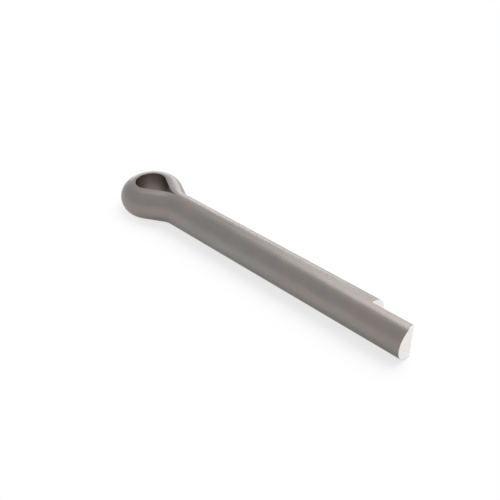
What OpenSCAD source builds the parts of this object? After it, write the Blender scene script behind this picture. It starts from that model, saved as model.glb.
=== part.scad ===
// Cotter pin, or split pin, closed as it is supplied.
//
// One length of half-round wire is bent back on itself, flat side to flat side. Its two legs
// lie together as a round shank, one longer than the other so that they can be spread apart.
// The bend between them opens into an eye: a round bow whose straight sides taper in to the
// shank. The pin is drawn the way it is bent, as a chain of straight and bent wire that starts
// at the tip of the long leg and ends at the tip of the short one.
//
// Millimetres. The origin is on the shank's axis, where the shank begins under the eye. +X
// runs along the shank to its tips, +Z is the axis of the eye's hole, and the long leg is on
// the -Y side.

/* [Shank] */
// Diameter of the shank, which is both legs together
shank_d = 2.8; // [1:0.1:13]
// Length of the shank, from the neck to the end of the short leg
shank_len = 20; // [4:0.5:160]
// How much further the long leg reaches
long_leg_extra = 3.2; // [0:0.1:6.5]

/* [Wire] */
// Gap between the flat sides of the closed legs
leg_gap = 0.02; // [0.01:0.01:0.4]
// Radius along both edges of the wire's flat side
edge_r = 0.03; // [0.01:0.01:0.2]

/* [Eye] */
// Diameter of the hole in the eye's round bow
eye_hole_d = 2.65; // [1:0.05:12]
// Angle between the shank's axis and each straight side of the eye
taper_angle = 27.3; // [12:0.1:44]
// Radius of the hollow on the outside of each neck bend
neck_r = 1.7; // [0.2:0.1:8]

/* [Hidden] */
$fn = 128;

steel = [0.53, 0.51, 0.5];

// The wire's path is the centre of its round side. Along the shank it is the shank's axis,
// and the flat side lies half the gap away from it.
wire_r = shank_d / 2;
flat_x = leg_gap / 2;
eye_path_r = eye_hole_d / 2 - flat_x;
neck_path_r = neck_r + wire_r;

// Length that makes each straight side of the eye tangent to the bow and to the neck bend
taper_len = ((eye_path_r + neck_path_r) * cos(taper_angle) - neck_path_r) / sin(taper_angle);

// Centre of the arc that rounds each edge. The arc is drawn a little over its radius, so that
// it runs out of the flat side and out of the round side and ends cleanly on both.
edge_x = flat_x + edge_r;
edge_y = sqrt(pow(wire_r, 2) - pow(edge_x, 2)) - edge_r;
edge_over = 1.01;

// Section of the wire, with its path at the origin and its round side towards +X
module wire_section() {
    intersection() {
        circle(r = wire_r);
        translate([flat_x, -wire_r]) square([wire_r, shank_d]);
        union() {
            translate([0, -edge_y]) square([wire_r, 2 * edge_y]);
            translate([edge_x, -wire_r]) square([wire_r, shank_d]);
            for (side = [-1, 1]) translate([edge_x, side * edge_y]) circle(r = edge_over * edge_r);
        }
    }
}

// A number rounded to six significant digits
function six_digits(x) =
    let (step = pow(10, floor(log(abs(x))) - 5))
    round(x / step) * step;

// Turns what follows about Z in two steps. The second makes up what a rotation matrix that is
// written with six digits leaves out, so that the lengths of wire still meet face to face.
module turn(angle) {
    first_step = atan2(six_digits(sin(angle)), six_digits(cos(angle)));
    rotate([0, 0, angle]) rotate([0, 0, angle - first_step]) children();
}

// Straight wire along +X with its round side towards +Y. What follows starts at its end.
module straight(length) {
    rotate([90, 0, 90]) linear_extrude(length) wire_section();
    translate([length, 0, 0]) children();
}

// Bent wire that starts the same way. A positive angle bends it towards its round side.
module bend(path_r, angle) {
    to_round = angle > 0 ? 1 : 0;
    centre = [0, path_r * sign(angle), 0];
    mirror([0, 1 - to_round, 0]) translate([0, path_r, 0]) rotate([0, 0, -90])
        rotate_extrude(angle = abs(angle))
            translate([path_r, 0]) mirror([to_round, 0]) wire_section();
    translate(centre) turn(angle) translate(-centre) children();
}

module cotter_pin() {
    long_leg_len = shank_len + long_leg_extra;
    color(steel) translate([long_leg_len, 0, 0]) rotate([0, 0, 180])
        straight(long_leg_len)
        bend(neck_path_r, taper_angle)
        straight(taper_len)
        bend(eye_path_r, -180 - 2 * taper_angle)
        straight(taper_len)
        bend(neck_path_r, taper_angle)
        straight(shank_len);
}

cotter_pin();
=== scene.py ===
"""A cotter pin of half-round steel wire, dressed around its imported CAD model.

The pin lies closed on a pale floor. One mesh follows the wire from the tip of the long leg,
round the eye, to the tip of the short leg. Lengths are in millimetres, and become metres where
they reach Blender.
"""

import math
from collections import namedtuple

import bpy
import numpy as np
from mathutils import Matrix, Vector


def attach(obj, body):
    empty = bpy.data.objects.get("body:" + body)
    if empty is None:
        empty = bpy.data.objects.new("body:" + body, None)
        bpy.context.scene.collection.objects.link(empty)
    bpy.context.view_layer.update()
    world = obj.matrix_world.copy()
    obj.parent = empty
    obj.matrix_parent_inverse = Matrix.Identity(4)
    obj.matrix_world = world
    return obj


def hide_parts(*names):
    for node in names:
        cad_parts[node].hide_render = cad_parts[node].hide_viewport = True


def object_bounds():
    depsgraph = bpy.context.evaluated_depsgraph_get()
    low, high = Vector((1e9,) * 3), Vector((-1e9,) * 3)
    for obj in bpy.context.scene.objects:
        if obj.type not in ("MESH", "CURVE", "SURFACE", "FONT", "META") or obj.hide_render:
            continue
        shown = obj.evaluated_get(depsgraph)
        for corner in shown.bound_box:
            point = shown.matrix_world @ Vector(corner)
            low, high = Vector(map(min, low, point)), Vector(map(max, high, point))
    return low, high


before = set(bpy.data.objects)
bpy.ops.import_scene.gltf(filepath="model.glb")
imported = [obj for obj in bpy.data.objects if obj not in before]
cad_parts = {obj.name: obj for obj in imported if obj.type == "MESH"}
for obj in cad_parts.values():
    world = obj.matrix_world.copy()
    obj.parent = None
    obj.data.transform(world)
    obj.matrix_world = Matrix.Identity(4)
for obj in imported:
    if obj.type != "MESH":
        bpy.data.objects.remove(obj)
cad_box = [list(corner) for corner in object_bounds()]

MM = 0.001
NODE = "cotter_pin"
UV_MAP = "wire"

# The wire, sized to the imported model's box. Its path is the centre of its round side, and its
# flat side lies FLAT_OFFSET from the path, which is half the gap between the closed legs.
box_low, box_high = (Vector(corner) / MM for corner in cad_box)
WIRE_R = box_high.z
LONG_LEG = box_high.x
SHORT_LEG = 20.0
FLAT_OFFSET = 0.001
EYE_PATH_R = box_high.y - WIRE_R
NECK_R = 1.7
NECK_PATH_R = NECK_R + WIRE_R
TAPER_ANGLE = math.radians(27.3)

# Radius along both edges of the flat side, and round the rims of the tips
EDGE_R = 0.008
TIP_R = 0.02

# How finely the mesh is drawn: the distance between stations on straight and on bent wire, and
# the steps round the round side, round an edge, over the rim of a tip and across its face
LEG_STEP = 0.25
BEND_STEP = 0.06
SIDE_STEPS = 72
EDGE_STEPS = 5
TIP_STEPS = 4
CAP_STEPS = 8

# The camera's place round the pin, its lens, and what it looks at beside the box's middle
CAMERA_AZIMUTH = math.radians(46.137)
CAMERA_ELEVATION = math.radians(36.086)
CAMERA_ROLL = math.radians(-2.015)
CAMERA_DISTANCE = 52.845
CAMERA_LENS = 49.303
CAMERA_AIM = Vector((0.027, -0.022, 0.0))

# Colours, as linear light. The round side has cool and warm areas, which are painted reflection:
# tints that stand for warm and cool surroundings mirrored in the steel.
WIRE_COLOR_COOL_PAINTED_REFLECTION = (0.246, 0.236, 0.228)
WIRE_COLOR_WARM_PAINTED_REFLECTION = (0.269, 0.233, 0.220)
# The flat side is painted lighter than the round side: painted light that brightens the inside of
# the eye, where the flat faces lie in shade.
FLAT_COLOR_PAINTED_LIGHT = (0.349, 0.304, 0.292)
# The tips' cut faces are bright like fresh-cut steel, and lighter still by a painted reflection of
# the bright surroundings they face.
SHEARED_COLOR_AND_PAINTED_REFLECTION = (0.84, 0.81, 0.79)
FLOOR_COLOR = (0.9, 0.9, 0.9)
WHITE = (1.0, 1.0, 1.0)

# Noises, by how often they change in a millimetre along the wire and around it. start picks
# another stretch of one. Their values are mostly from NOISE_LOW to NOISE_HIGH.
STREAKS = {"along": 0.1, "around": 9.0}
DRAWING_LINES = {"along": 0.3, "around": 30.0}
CLOUDS = {"along": 0.5, "around": 0.8}
# Where the round side is warm and where it is cool: painted reflection. start picks the stretch of
# noise that places these tints.
PAINTED_REFLECTION_PATCHES = {"along": 0.15, "around": 0.3, "start": 18.0}
GRAIN = {"along": 9.0, "around": 2.5}
NOISE_DETAIL = 3.0
NOISE_ROUGHNESS = 0.6
NOISE_LOW = 0.3
NOISE_HIGH = 0.7

# Finish: the range of each surface's tone and roughness, and how deep and strong its relief is
WIRE_TONE = (0.97, 1.03)
WIRE_ROUGHNESS = (0.31, 0.37)
SHEARED_TONE = (0.97, 1.02)
SHEARED_ROUGHNESS = (0.34, 0.44)
RELIEF_DEPTH = 0.004
DRAWING_LINES_STRENGTH = 0.5
GRAIN_STRENGTH = 0.3

# The floor. Close to the pin, a share of it is plain white and the rest takes light and shadow:
# one share as the camera sees it, and another as it is mirrored. From FADE_START to FADE_END
# away from the pin's middle line, it goes over into plain white.
FLOOR_SIZE = 2000.0
FLOOR_WHITE_SEEN = 0.72
FLOOR_WHITE_MIRRORED = 0.35
FADE_START = 1.4
FADE_END = 4.6

# Light. The surroundings are seen white at the horizon and pale grey overhead, and OVERHEAD_FROM
# is the sine of the elevation at which overhead begins. Their light on dull surfaces is
# WORLD_STRENGTH. The lamps face a point on the shank.
WORLD_STRENGTH = 0.55
HORIZON_SEEN = 1.0
OVERHEAD_SEEN = 0.8
OVERHEAD_FROM = 0.3
LAMP_AIM = Vector((8, 0, 0))
LAMP_DISTANCE = 160

Station = namedtuple("Station", "travelled point heading")
Ring = namedtuple("Ring", "travelled points normals")


def add(name, data):
    thing = bpy.data.objects.new(name, data)
    bpy.context.scene.collection.objects.link(thing)
    return thing


def direction(azimuth, elevation):
    """The way from the pin to a place seen at that azimuth (from +X) and elevation."""
    flat = math.cos(elevation)
    return Vector((math.cos(azimuth) * flat, math.sin(azimuth) * flat, math.sin(elevation)))


# ------------------------------------------------------------------ camera


def make_camera():
    back = direction(CAMERA_AZIMUTH - math.pi / 2, CAMERA_ELEVATION)
    aim = (box_low + box_high) / 2 + CAMERA_AIM
    data = bpy.data.cameras.new("camera")
    data.lens = CAMERA_LENS
    data.clip_start = MM
    camera = add("camera", data)
    camera.location = (aim + back * CAMERA_DISTANCE) * MM
    level = back.to_track_quat("Z", "Y").to_matrix()
    camera.rotation_euler = (level @ Matrix.Rotation(CAMERA_ROLL, 3, "Z")).to_euler()
    bpy.context.scene.camera = camera


# ------------------------------------------------------------------ the wire's shape


def left_of(heading):
    return np.array([-math.sin(heading), math.cos(heading), 0.0])


def ahead_of(heading):
    return np.array([math.cos(heading), math.sin(heading), 0.0])


def wire_moves():
    """The wire as it is bent: the length of each stretch, and its turn towards the round side."""
    reach = (EYE_PATH_R + NECK_PATH_R) * math.cos(TAPER_ANGLE) - NECK_PATH_R
    side = (reach / math.sin(TAPER_ANGLE), 0.0)
    neck = (NECK_PATH_R * TAPER_ANGLE, TAPER_ANGLE)
    bow_turn = math.pi + 2 * TAPER_ANGLE
    bow = (EYE_PATH_R * bow_turn, -bow_turn)
    return [(LONG_LEG, 0.0), neck, side, bow, side, neck, (SHORT_LEG, 0.0)]


def wire_stations():
    """Stations along the wire's path: distance from the long leg's tip, point and heading.
    The wire's round side is on the left of its heading."""
    travelled, point, heading = 0.0, np.array([LONG_LEG, 0.0, 0.0]), math.pi
    stations = [Station(travelled, point, heading)]
    for length, turn in wire_moves():
        count = math.ceil(length / (BEND_STEP if turn else LEG_STEP))
        first_point, first_heading = point, heading
        for share in np.linspace(0, 1, count + 1)[1:]:
            heading = first_heading + turn * share
            if turn:
                arm = left_of(first_heading) - left_of(heading)
                point = first_point + arm * length / turn
            else:
                point = first_point + ahead_of(heading) * length * share
            stations.append(Station(travelled + length * share, point, heading))
        travelled += length
    return stations


def section(inset=0.0):
    """The outline of the wire's section, drawn inset inside it: the place of each point and the
    way it faces, both as (to the round side, up). It runs down the round side from the top edge
    and back up the flat side, with as many points on each side."""
    edge_x = FLAT_OFFSET + EDGE_R
    edge_z = math.sqrt((WIRE_R - EDGE_R) ** 2 - edge_x ** 2)
    top = math.atan2(edge_z, edge_x)

    angles = np.linspace(top, -top, SIDE_STEPS + 1)
    round_facing = np.stack([np.cos(angles), np.sin(angles)], 1)
    round_side = (WIRE_R - inset) * round_facing

    angles = np.linspace(top, math.pi, EDGE_STEPS + 1)[1:]
    edge_facing = np.stack([np.cos(angles), np.sin(angles)], 1)
    edge = np.array([edge_x, edge_z]) + (EDGE_R - inset) * edge_facing
    flip = np.array([1, -1])

    levels = round_side[EDGE_STEPS:-EDGE_STEPS, 1]
    levels = (levels * edge_z / levels[0])[1:-1]
    flat = np.stack([np.full(len(levels), FLAT_OFFSET + inset), levels], 1)
    flat_facing = np.tile([-1.0, 0.0], (len(levels), 1))

    places = [round_side, edge * flip, flat[::-1], edge[::-1]]
    facing = [round_facing, edge_facing * flip, flat_facing, edge_facing[::-1]]
    return np.concatenate(places), np.concatenate(facing)


def ring_at(station, inset=0.0, shift=0.0, lean=0.0):
    """The section's outline at a station, moved on along the wire by shift. lean is the angle
    by which its normals lean towards the heading."""
    places, facing = section(inset)
    ahead = ahead_of(station.heading)
    across = np.stack([left_of(station.heading), [0.0, 0.0, 1.0]])
    points = station.point + places @ across + ahead * shift
    normals = facing @ across * math.cos(lean) + ahead * math.sin(lean)
    return Ring(station.travelled + shift, points, normals)


def tip_rings(station, inwards):
    """Rings over the rim of a leg's tip. inwards is 1 where the wire starts and -1 where it
    ends. The lean goes from the tip's face to the wire's side, or back."""
    leans = np.linspace(-1, 0, TIP_STEPS + 1) if inwards > 0 else np.linspace(0, 1, TIP_STEPS + 1)
    rings = []
    for lean in leans * math.pi / 2:
        inset = TIP_R * (1 - math.cos(lean))
        rings.append(ring_at(station, inset, TIP_R * (math.sin(lean) + inwards), lean))
    return rings


def cap(points, first_vertex, next_vertex):
    """The face of a leg's tip, as a grid between the outline's round side and its flat side.
    Returns the points inside the outline and the rows of the grid, as vertex numbers."""
    count = len(points)
    inner, rows = [], []
    for level in range(SIDE_STEPS + 1):
        round_at, flat_at = level, (count - level) % count
        row = [first_vertex + flat_at]
        if round_at != flat_at:
            for share in np.linspace(0, 1, CAP_STEPS + 1)[1:-1]:
                row.append(next_vertex + len(inner))
                inner.append(points[flat_at] * (1 - share) + points[round_at] * share)
            row.append(first_vertex + round_at)
        rows.append(row)
    return inner, rows


def grid_faces(rows, flipped):
    """Quads between the rows of a grid, with triangles where a row is a single point."""
    faces = []
    for a, b in zip(rows, rows[1:]):
        for i in range(max(len(a), len(b)) - 1):
            face = [a[min(i, len(a) - 1)], a[min(i + 1, len(a) - 1)],
                    b[min(i + 1, len(b) - 1)], b[min(i, len(b) - 1)]]
            face = list(dict.fromkeys(face))
            faces.append(face[::-1] if flipped else face)
    return faces


def side_faces(rings):
    """The quads between the rings, their UVs, and for each quad whether it is on a tip's rim."""
    places, _ = section()
    steps = np.linalg.norm(np.roll(places, -1, axis=0) - places, axis=1)
    round_at = np.concatenate([[0.0], np.cumsum(steps)])
    count = len(places)
    faces, uvs, sheared = [], [], []
    for i in range(len(rings) - 1):
        here, there = rings[i].travelled, rings[i + 1].travelled
        is_rim = i < TIP_STEPS or i >= len(rings) - 1 - TIP_STEPS
        for j in range(count):
            k = (j + 1) % count
            faces.append([i * count + j, (i + 1) * count + j, (i + 1) * count + k, i * count + k])
            uvs += [(here, round_at[j]), (there, round_at[j]),
                    (there, round_at[j + 1]), (here, round_at[j + 1])]
            sheared.append(is_rim)
    return faces, uvs, sheared


def make_wire():
    """The whole pin as one closed mesh. Its UV map is in millimetres: along the wire and round
    its section, and on the faces of the tips across and up."""
    stations = wire_stations()
    rings = tip_rings(stations[0], 1)
    rings += [ring_at(station) for station in stations[1:-1]]
    rings += tip_rings(stations[-1], -1)
    points = list(np.concatenate([ring.points for ring in rings]))
    normals = list(np.concatenate([ring.normals for ring in rings]))
    faces, uvs, sheared = side_faces(rings)

    last_ring_starts = len(points) - len(rings[-1].points)
    ends = ((rings[0], 0, stations[0], -1), (rings[-1], last_ring_starts, stations[-1], 1))
    for ring, first_vertex, station, outward in ends:
        inner, rows = cap(ring.points, first_vertex, len(points))
        points += inner
        normals += [ahead_of(station.heading) * outward] * len(inner)
        for face in grid_faces(rows, outward > 0):
            faces.append(face)
            uvs += [tuple(points[vertex][1:]) for vertex in face]
            sheared.append(True)

    mesh = bpy.data.meshes.new(NODE)
    mesh.from_pydata([point * MM for point in points], [], faces)
    mesh.uv_layers.new(name=UV_MAP).data.foreach_set("uv", np.ravel(uvs))
    mesh.polygons.foreach_set("use_smooth", [True] * len(faces))
    mesh.polygons.foreach_set("material_index", [int(is_sheared) for is_sheared in sheared])
    mesh.normals_split_custom_set_from_vertices([list(normal) for normal in normals])
    mesh.materials.append(drawn_wire())
    mesh.materials.append(sheared_end())
    return add("half_round_wire", mesh)


# ------------------------------------------------------------------ shader nodes


def new_node(tree, kind, settings=(), **values):
    """A shader node. settings are its own properties, and values are what its sockets get: a
    number, a colour or another node's socket. A value's name is its socket's, with _ for a
    space, or the socket's number after a _."""
    made = tree.nodes.new("ShaderNode" + kind)
    for name, value in dict(settings).items():
        setattr(made, name, value)
    for name, value in values.items():
        number = name[1:]
        socket = made.inputs[int(number) if number.isdigit() else name.replace("_", " ")]
        if isinstance(value, bpy.types.NodeSocket):
            tree.links.new(value, socket)
        elif socket.type == "RGBA":
            socket.default_value = (*value, 1.0)
        else:
            socket.default_value = value
    return made


def new_material(name):
    material = bpy.data.materials.new(name)
    material.use_nodes = True
    material.node_tree.nodes.clear()
    return material, material.node_tree


def finish_material(tree, shader):
    new_node(tree, "OutputMaterial", Surface=shader)


def combined(tree, operation, a, b):
    return new_node(tree, "Math", {"operation": operation}, _0=a, _1=b).outputs[0]


def ramp(tree, value, start, end, low, high, kind="LINEAR"):
    """Goes from low to high while value goes from start to end."""
    made = new_node(tree, "MapRange", {"interpolation_type": kind}, Value=value, From_Min=start,
                    From_Max=end, To_Min=low, To_Max=high)
    return made.outputs["Result"]


def mixed(tree, share, first, second):
    """A colour that goes from the first to the second. A Mix node keeps its sockets for colours
    at numbers 6 and 7, and gives the colour at number 2."""
    return new_node(tree, "Mix", {"data_type": "RGBA"}, _0=share, _6=first, _7=second).outputs[2]


def tinted(tree, color, value):
    """color, made lighter or darker by a factor."""
    mix = new_node(tree, "VectorMath", {"operation": "SCALE"}, _0=color, Scale=value)
    return mix.outputs[0]


def wire_place(tree):
    """Where a point is on the wire, in millimetres along and around it."""
    return new_node(tree, "UVMap", {"uv_map": UV_MAP}).outputs["UV"]


def wire_noise(tree, along, around, start=0.0):
    """Noise with that many changes in a millimetre along the wire and around it."""
    scaled = new_node(tree, "VectorMath", {"operation": "MULTIPLY_ADD"}, _0=wire_place(tree),
                      _1=(along, around, 1.0), _2=(start, 0.0, 0.0))
    noise = new_node(tree, "TexNoise", {"noise_dimensions": "2D"}, Vector=scaled.outputs[0],
                     Scale=1.0, Detail=NOISE_DETAIL, Roughness=NOISE_ROUGHNESS)
    return noise.outputs["Fac"]


def spread(tree, noise, low, high):
    """noise, stretched to go from low to high."""
    return ramp(tree, noise, NOISE_LOW, NOISE_HIGH, low, high)


def relief(tree, height, strength):
    bump = new_node(tree, "Bump", {}, Strength=strength, Distance=RELIEF_DEPTH * MM, Height=height)
    return bump.outputs["Normal"]


# ------------------------------------------------------------------ materials


def drawn_wire():
    """Satin steel with fine lines along it. Its round side has cool and warm areas of painted
    reflection, and its flat side is painted lighter, as painted light in the shaded inside of the
    eye.
    """
    material, tree = new_material("drawn_wire")
    streaks = wire_noise(tree, **STREAKS)
    clouds = wire_noise(tree, **CLOUDS)
    tone = combined(tree, "MULTIPLY", spread(tree, streaks, *WIRE_TONE),
                    spread(tree, clouds, *WIRE_TONE))

    around = new_node(tree, "SeparateXYZ", {}, _0=wire_place(tree)).outputs["Y"]
    flat_from = math.pi * WIRE_R
    # Painted light: the flat side, which lies in shade inside the eye, gets a lighter colour.
    painted_light_on_flat = ramp(tree, around, flat_from - EDGE_R, flat_from + EDGE_R, 0.0, 1.0)
    # Painted reflection: warm and cool tints on the round side.
    painted_reflection_patches = spread(tree, wire_noise(tree, **PAINTED_REFLECTION_PATCHES), 0.0, 1.0)
    round_color_with_painted_reflection = mixed(tree, painted_reflection_patches, WIRE_COLOR_COOL_PAINTED_REFLECTION, WIRE_COLOR_WARM_PAINTED_REFLECTION)
    color = mixed(tree, painted_light_on_flat, round_color_with_painted_reflection, FLAT_COLOR_PAINTED_LIGHT)

    lines = wire_noise(tree, **DRAWING_LINES)
    shader = new_node(tree, "BsdfPrincipled", {}, Base_Color=tinted(tree, color, tone),
                      Metallic=1.0, Roughness=spread(tree, streaks, *WIRE_ROUGHNESS),
                      Normal=relief(tree, lines, DRAWING_LINES_STRENGTH))
    finish_material(tree, shader.outputs[0])
    return material


def sheared_end():
    """The finely grained face that a cut leaves on a leg's tip, bright as cut steel and made
    lighter still by a painted reflection.
    """
    material, tree = new_material("sheared_end")
    grain = wire_noise(tree, **GRAIN)
    tone = spread(tree, grain, *SHEARED_TONE)
    shader = new_node(tree, "BsdfPrincipled", {}, Base_Color=tinted(tree, SHEARED_COLOR_AND_PAINTED_REFLECTION, tone),
                      Metallic=1.0, Roughness=spread(tree, grain, *SHEARED_ROUGHNESS),
                      Normal=relief(tree, grain, GRAIN_STRENGTH))
    finish_material(tree, shader.outputs[0])
    return material


# ------------------------------------------------------------------ floor and light


def seen_rays(tree):
    """1 for rays from the camera, or by way of a reflection or glass, and 0 for the others."""
    path = new_node(tree, "LightPath")
    seen = path.outputs["Is Camera Ray"]
    for name in ("Is Glossy Ray", "Is Transmission Ray"):
        seen = combined(tree, "MAXIMUM", seen, path.outputs[name])
    return seen


def distance_from_pin(tree):
    """How far a point of the floor is from the pin's middle line, in metres."""
    middle = (box_low + box_high) / 2 * MM
    half_line = (box_high.x - box_low.x) / 2 * MM - WIRE_R * MM
    place = new_node(tree, "TexCoord").outputs["Object"]
    for operation, by in (("SUBTRACT", (middle.x, middle.y, 0.0)), ("ABSOLUTE", (0.0, 0.0, 0.0)),
                          ("SUBTRACT", (half_line, 0.0, 0.0)), ("MAXIMUM", (0.0, 0.0, 0.0))):
        place = new_node(tree, "VectorMath", {"operation": operation}, _0=place, _1=by).outputs[0]
    return new_node(tree, "VectorMath", {"operation": "LENGTH"}, _0=place).outputs["Value"]


def pale_floor():
    """Pale and dull, and seen as plain white further out."""
    material, tree = new_material("floor")
    to_camera = new_node(tree, "LightPath").outputs["Is Camera Ray"]
    nearest = ramp(tree, to_camera, 0.0, 1.0, FLOOR_WHITE_MIRRORED, FLOOR_WHITE_SEEN)
    white = ramp(tree, distance_from_pin(tree), FADE_START * MM, FADE_END * MM, nearest, 1.0,
                 "SMOOTHSTEP")
    share = combined(tree, "MULTIPLY", white, seen_rays(tree))
    lit = new_node(tree, "BsdfDiffuse", {}, Color=FLOOR_COLOR).outputs[0]
    plain = new_node(tree, "Emission", {}, Color=WHITE, Strength=1.0).outputs[0]
    finish_material(tree, new_node(tree, "MixShader", {}, _0=share, _1=lit, _2=plain).outputs[0])
    return material


def make_floor():
    half = FLOOR_SIZE / 2 * MM
    mesh = bpy.data.meshes.new("floor")
    mesh.from_pydata([(-half, -half, 0), (half, -half, 0), (half, half, 0), (-half, half, 0)],
                     [], [(0, 1, 2, 3)])
    mesh.materials.append(pale_floor())
    floor = add("floor", mesh)
    floor.location.z = box_low.z * MM


def make_world():
    world = bpy.data.worlds.new("studio")
    bpy.context.scene.world = world
    world.use_nodes = True
    tree = world.node_tree
    tree.nodes.clear()
    way = new_node(tree, "TexCoord").outputs["Generated"]
    height = new_node(tree, "SeparateXYZ", {}, _0=way).outputs["Z"]
    seen = ramp(tree, height, 0.0, OVERHEAD_FROM, HORIZON_SEEN, OVERHEAD_SEEN, "SMOOTHSTEP")
    strength = ramp(tree, seen_rays(tree), 0.0, 1.0, WORLD_STRENGTH, seen)
    light = new_node(tree, "Background", {}, Color=WHITE, Strength=strength)
    new_node(tree, "OutputWorld", Surface=light.outputs[0])


def softbox(name, azimuth, elevation, size, radiance):
    """A rectangular soft lamp that faces the pin from that azimuth and elevation, in degrees.
    radiance is how bright it looks, where 1 is white."""
    data = bpy.data.lights.new(name, "AREA")
    data.shape = "RECTANGLE"
    data.size = size[0] * MM
    data.size_y = size[1] * MM
    data.energy = radiance * math.pi * data.size * data.size_y
    lamp = add(name, data)
    way = direction(math.radians(azimuth), math.radians(elevation))
    lamp.location = (LAMP_AIM + way * LAMP_DISTANCE) * MM
    lamp.rotation_euler = way.to_track_quat("Z", "Y").to_euler()


def make_lights():
    softbox("back_softbox", azimuth=92, elevation=54, size=(200, 200), radiance=1.26)
    softbox("key_softbox", azimuth=62, elevation=70, size=(120, 120), radiance=1.88)
    softbox("low_strip", azimuth=135, elevation=6, size=(160, 36), radiance=2.0)


make_camera()
make_floor()
make_world()
make_lights()

wire = make_wire()
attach(wire, "root")
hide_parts(NODE)

bpy.context.scene.view_settings.view_transform = "Standard"
